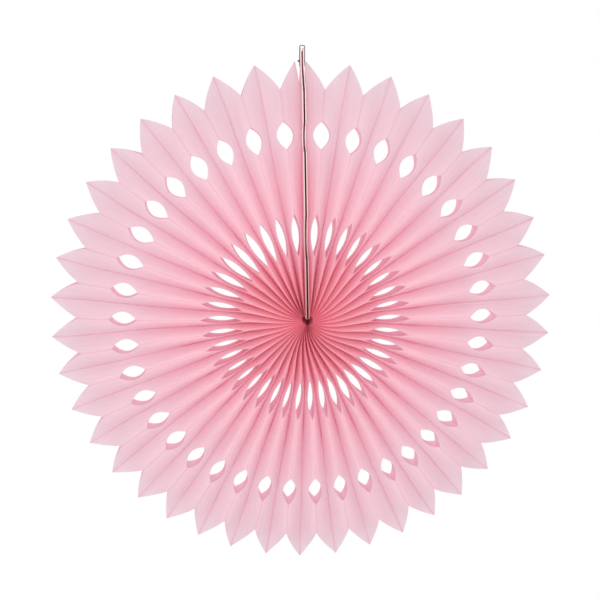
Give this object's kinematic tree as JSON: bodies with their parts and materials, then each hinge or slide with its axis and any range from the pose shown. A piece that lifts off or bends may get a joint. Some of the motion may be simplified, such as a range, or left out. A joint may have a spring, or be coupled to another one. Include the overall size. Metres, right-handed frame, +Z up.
{
  "type": "paper fan rosette",
  "caption": "Round hanging rosette of pleated tissue paper with pointed petals and two rings of die-cut holes, closed by end cards and hung from a thread loop.",
  "frame": {"origin": "top of the inside of the hanging loop, where a hook or thread bears", "axes": "+Z up as it hangs, -Y the way the front faces, so Y runs along the rosette's own axis; +X to the right seen from the front"},
  "size_m": [0.401, 0.0822, 0.4128],
  "materials": {
    "tissue": "matte, thin, slightly translucent pink tissue paper",
    "card": "matte card with a pink coat outside, a deeper one inside and pale cut edges",
    "tape": "dull dark double-sided adhesive strip",
    "thread": "twisted dark grey sewing thread"
  },
  "bodies": {
    "root": {"tissue_fan": "tissue", "left_end_card": "card", "right_end_card": "card", "joining_tape": "tape", "hanging_loop": "thread"}
  },
  "joints": []
}
